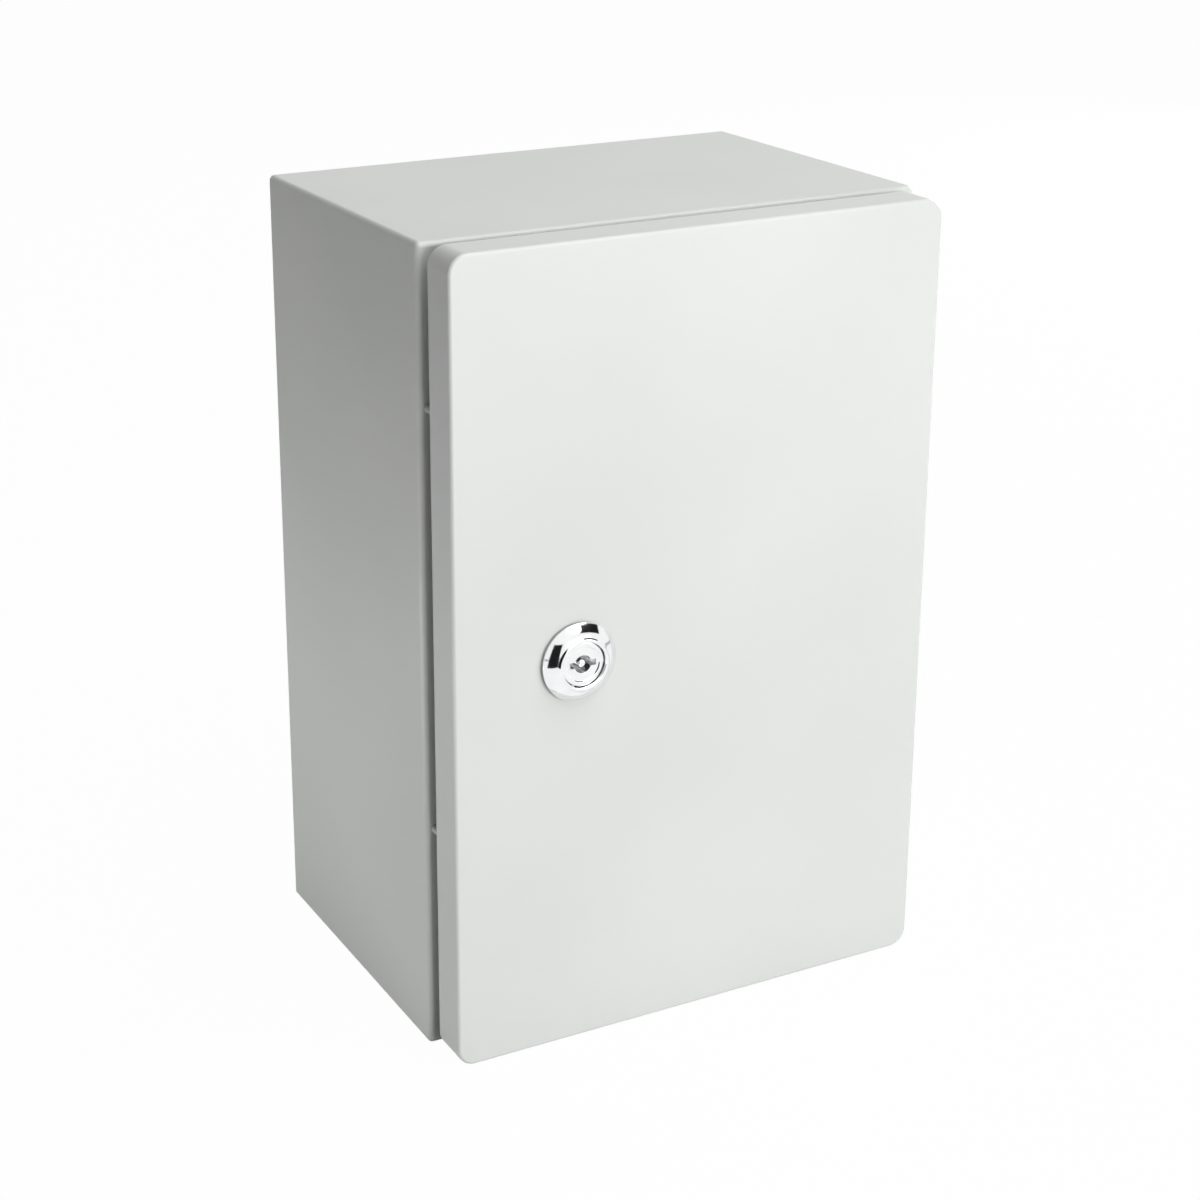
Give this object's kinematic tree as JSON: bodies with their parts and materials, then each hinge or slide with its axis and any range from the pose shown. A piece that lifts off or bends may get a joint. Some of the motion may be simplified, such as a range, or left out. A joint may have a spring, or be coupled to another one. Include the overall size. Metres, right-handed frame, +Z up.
{
  "type": "steel wall enclosure",
  "caption": "Wall-mounted folded steel equipment enclosure with a hinged front door, a cam lock, an inner mounting plate and a bottom gland plate.",
  "frame": {"origin": "centre of the back face, which is also the centre of the four wall holes", "axes": "+Z up, +Y into the wall, the door faces -Y, +X to the right seen from the front"},
  "size_m": [0.2, 0.1553, 0.3],
  "materials": {
    "powder_coat_body": "smooth semi-gloss light grey powder coat",
    "powder_coat_door": "smooth semi-gloss light grey powder coat",
    "galvanised_plate": "galvanised sheet with fine spangle",
    "zinc_plated_fasteners": "bright zinc plated",
    "zinc_plated_hardware": "zinc plated pressing",
    "stainless_pins": "ground stainless",
    "brass_earthing": "plain brass",
    "foam_seal": "cast closed-cell foam",
    "rubber_seal": "matt rubber",
    "rubber_buffers": "grey rubber",
    "chrome_lock": "chrome plated zinc die casting",
    "chrome_core": "chrome plated zinc die casting"
  },
  "bodies": {
    "enclosure": {"body_wrap": "powder_coat_body", "rear_panel": "powder_coat_body", "mounting_plate": "galvanised_plate", "plate_studs": "zinc_plated_fasteners", "plate_washers": "zinc_plated_fasteners", "plate_nuts": "zinc_plated_fasteners", "gland_plate": "powder_coat_body", "gland_gasket": "foam_seal", "gland_studs": "zinc_plated_fasteners", "gland_nuts": "zinc_plated_fasteners", "earth_stud": "brass_earthing", "earth_washer": "brass_earthing", "earth_nut": "brass_earthing", "hinge_arm_upper": "zinc_plated_hardware", "hinge_arm_lower": "zinc_plated_hardware", "hinge_arm_screws": "zinc_plated_fasteners", "hinge_arm_nuts": "zinc_plated_fasteners", "door_buffers": "rubber_buffers"},
    "door": {"door_panel": "powder_coat_door", "door_gasket": "foam_seal", "hinge_leaf_upper": "zinc_plated_hardware", "hinge_leaf_lower": "zinc_plated_hardware", "hinge_pin_upper": "stainless_pins", "hinge_pin_lower": "stainless_pins", "door_earth_stud": "brass_earthing", "door_earth_washer": "brass_earthing", "door_earth_nut": "brass_earthing", "lock_bezel": "chrome_lock", "lock_seal": "rubber_seal", "lock_nut": "chrome_lock"},
    "lock": {"lock_core": "chrome_core", "lock_cam": "zinc_plated_hardware", "cam_washer": "zinc_plated_fasteners", "cam_screw": "zinc_plated_fasteners"}
  },
  "joints": [
    {"name": "door_hinge", "type": "hinge", "parent": "enclosure", "child": "door", "pos_m": [0.0928, -0.14, 0], "axis": [0, 0, 1], "range_deg": [0, 120]},
    {"name": "lock_turn", "type": "hinge", "parent": "door", "child": "lock", "pos_m": [-0.05, -0.15, 0], "axis": [0, 1, 0], "range_deg": [0, 90]}
  ]
}
